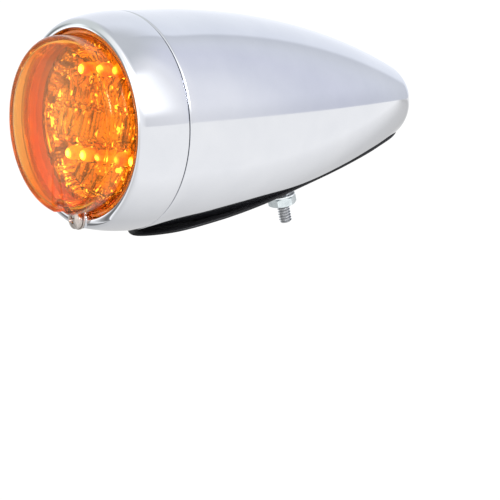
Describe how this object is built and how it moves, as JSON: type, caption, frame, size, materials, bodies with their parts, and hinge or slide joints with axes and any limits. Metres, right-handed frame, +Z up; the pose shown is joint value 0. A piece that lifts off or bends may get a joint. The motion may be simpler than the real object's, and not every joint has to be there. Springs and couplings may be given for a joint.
{
  "type": "turn signal lamp",
  "caption": "Bullet-shaped chrome turn signal lamp with an amber cup lens, a sloping rubber foot pad and a threaded mounting stud.",
  "frame": {"origin": "where the mounting stud's axis leaves the underside of the rubber pad", "axes": "+Y along the lamp's axis towards the tail, the lens faces -Y, +Z up; the pad slopes 13 degrees, rising towards the tail"},
  "size_m": [0.0764, 0.1659, 0.0822],
  "materials": {
    "housing_chrome": "mirror chrome plate over die-cast zinc",
    "bezel_chrome": "mirror chrome plate over die-cast zinc",
    "amber_lens": "clear amber moulded polycarbonate, polished",
    "seal_rubber": "soft dark rubber",
    "spring_steel": "plain spring steel",
    "screw_steel": "bright stainless, lightly brushed",
    "reflector_plating": "vacuum-plated plastic, faceted",
    "led_resin": "clear amber epoxy, lit",
    "board_laminate": "white solder mask on glass-epoxy laminate",
    "component_plastic": "moulded black component bodies",
    "module_plastic": "black moulded nylon",
    "zinc_steel": "zinc plated, dull",
    "tinned_brass": "tin-plated brass",
    "connector_nylon": "red translucent nylon sleeve",
    "lead_insulation": "black PVC insulation",
    "stud_zinc": "bright zinc plated rolled thread",
    "nut_zinc": "bright zinc plated, faintly blue",
    "washer_zinc": "bright zinc plated",
    "pad_rubber": "black moulded rubber, satin"
  },
  "bodies": {
    "housing": {"rear_housing": "housing_chrome", "base_pad": "pad_rubber", "wire_grommet": "pad_rubber", "mounting_stud": "stud_zinc", "stud_plate": "zinc_steel", "plate_screws": "zinc_steel", "ring_terminal": "tinned_brass", "ground_lead": "lead_insulation", "spade_connector": "connector_nylon", "ground_tab": "tinned_brass", "terminal_pins": "tinned_brass", "terminal_socket": "module_plastic", "module_body": "module_plastic", "module_screws": "zinc_steel", "led_board": "board_laminate", "leds": "led_resin", "driver_components": "component_plastic", "reflector": "reflector_plating"},
    "bezel": {"front_bezel": "bezel_chrome", "lens": "amber_lens", "lens_seal": "seal_rubber", "lens_retainer": "spring_steel"},
    "screw_washer": {"lens_screw_washer": "screw_steel"},
    "screw": {"lens_screw": "screw_steel"},
    "washer": {"stud_washer": "washer_zinc"},
    "nut": {"stud_nut": "nut_zinc"}
  },
  "joints": [
    {"name": "bezel_pull", "type": "slide", "parent": "housing", "child": "bezel", "axis": [0, -1, 0], "range_m": [0, 0.06]},
    {"name": "lens_screw_travel", "type": "slide", "parent": "bezel", "child": "screw_washer", "axis": [0, 1, 0], "range_m": [-0.0119, 0]},
    {"name": "lens_screw_turn", "type": "hinge", "parent": "screw_washer", "child": "screw", "pos_m": [0, -0.091, -0.0073], "axis": [0, 1, 0], "range_deg": [-5400, 0]},
    {"name": "nut_travel", "type": "slide", "parent": "housing", "child": "washer", "axis": [0, -0.225, 0.9744], "range_m": [-0.0106, 0.0071]},
    {"name": "nut_turn", "type": "hinge", "parent": "washer", "child": "nut", "pos_m": [0, 0, 0], "axis": [0, -0.225, 0.9744], "range_deg": [-3630, 2450]}
  ],
  "couplings": [
    {"joint": "lens_screw_turn", "follows": "lens_screw_travel", "rad_per_m": 7915.8},
    {"joint": "nut_turn", "follows": "nut_travel", "rad_per_m": 5936.9}
  ]
}
